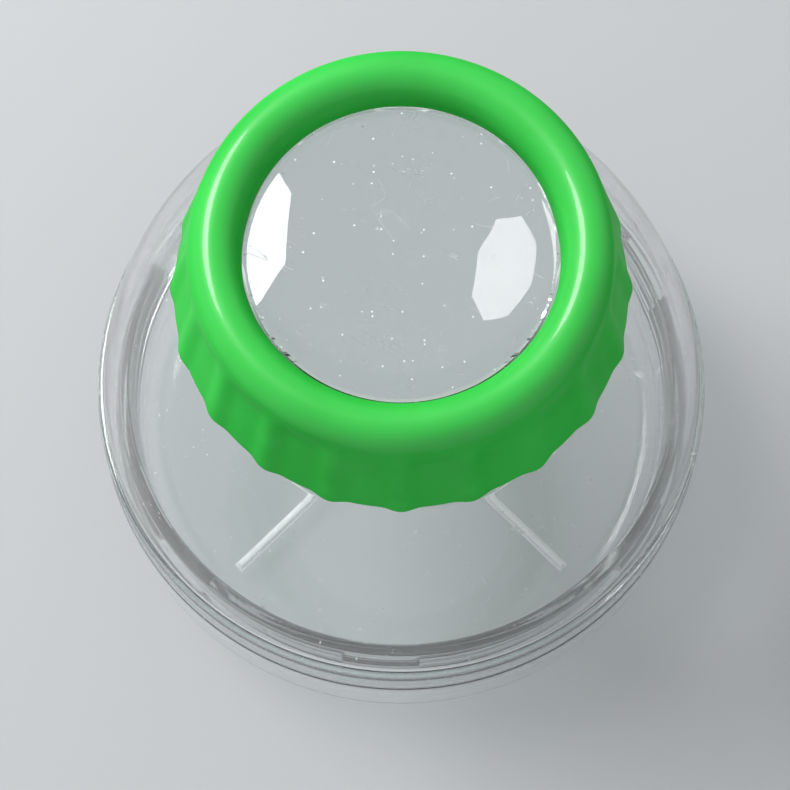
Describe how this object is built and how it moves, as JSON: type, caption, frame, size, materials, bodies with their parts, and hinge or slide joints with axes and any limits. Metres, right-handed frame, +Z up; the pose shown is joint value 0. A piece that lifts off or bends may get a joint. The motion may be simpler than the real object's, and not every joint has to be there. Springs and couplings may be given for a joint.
{
  "type": "bug viewer box",
  "caption": "Clear bell-shaped viewing pot on a lift-off clear tray, with a ridged green screw lid that holds a magnifying lens.",
  "frame": {"origin": "centre of the ring that the tray stands on, at ground level", "axes": "+Z up along the pot's axis; -Y is the side that the picture is taken from"},
  "size_m": [0.09, 0.09, 0.0778],
  "materials": {
    "clear_tray": "clear moulded polystyrene, polished",
    "clear_dome": "clear moulded polystyrene, polished",
    "lens_acrylic": "optical acrylic, polished",
    "green_lid": "moulded green plastic, satin gloss"
  },
  "bodies": {
    "tray": {"base_tray": "clear_tray"},
    "pot": {"dome": "clear_dome"},
    "magnifier": {"lens": "lens_acrylic"},
    "lid": {"lid_ring": "green_lid"}
  },
  "joints": [
    {"name": "dome_lift", "type": "slide", "parent": "tray", "child": "pot", "axis": [0, 0, 1], "range_m": [0, 0.03]},
    {"name": "lid_rise", "type": "slide", "parent": "pot", "child": "magnifier", "axis": [0, 0, 1], "range_m": [0, 0.006]},
    {"name": "lid_turn", "type": "hinge", "parent": "magnifier", "child": "lid", "pos_m": [0, 0, 0.0665], "axis": [0, 0, 1], "range_deg": [0, 360]}
  ],
  "couplings": [
    {"joint": "lid_rise", "follows": "lid_turn", "m_per_rad": 0.00095493}
  ]
}
